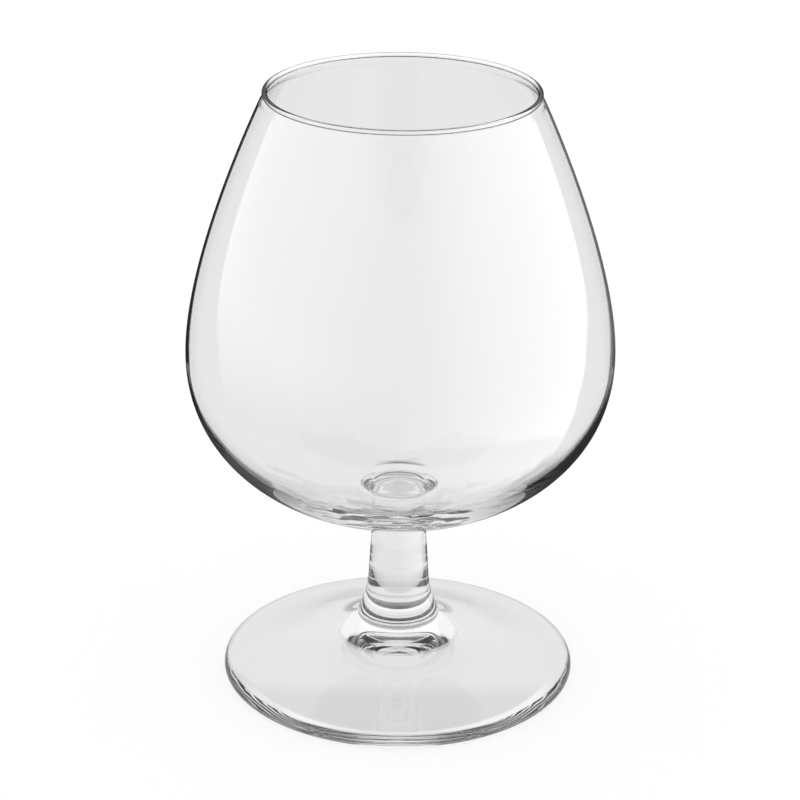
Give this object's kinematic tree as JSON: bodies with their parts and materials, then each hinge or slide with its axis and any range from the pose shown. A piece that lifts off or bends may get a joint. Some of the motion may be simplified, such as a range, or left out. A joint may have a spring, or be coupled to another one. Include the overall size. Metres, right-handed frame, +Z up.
{
  "type": "brandy snifter",
  "caption": "Short stemmed balloon glass with a wide rounded bowl, a narrow mouth with a rounded lip, a solid stem and a round foot, hollow underneath.",
  "frame": {"origin": "middle of the ring that the foot rests on, on the glass's own axis", "axes": "+Z up along the axis of the glass, towards its mouth; +X and +Y are any two directions across it, because the glass is round"},
  "size_m": [0.0798, 0.0798, 0.116],
  "materials": {
    "blown_glass": "clear colourless soda lime glass, blown and fire polished, smooth and glossy",
    "pressed_glass": "clear colourless soda lime glass, pressed and fire polished, glossy with faint waves"
  },
  "bodies": {
    "root": {"bowl": "blown_glass", "stem": "pressed_glass", "foot": "pressed_glass"}
  },
  "joints": []
}
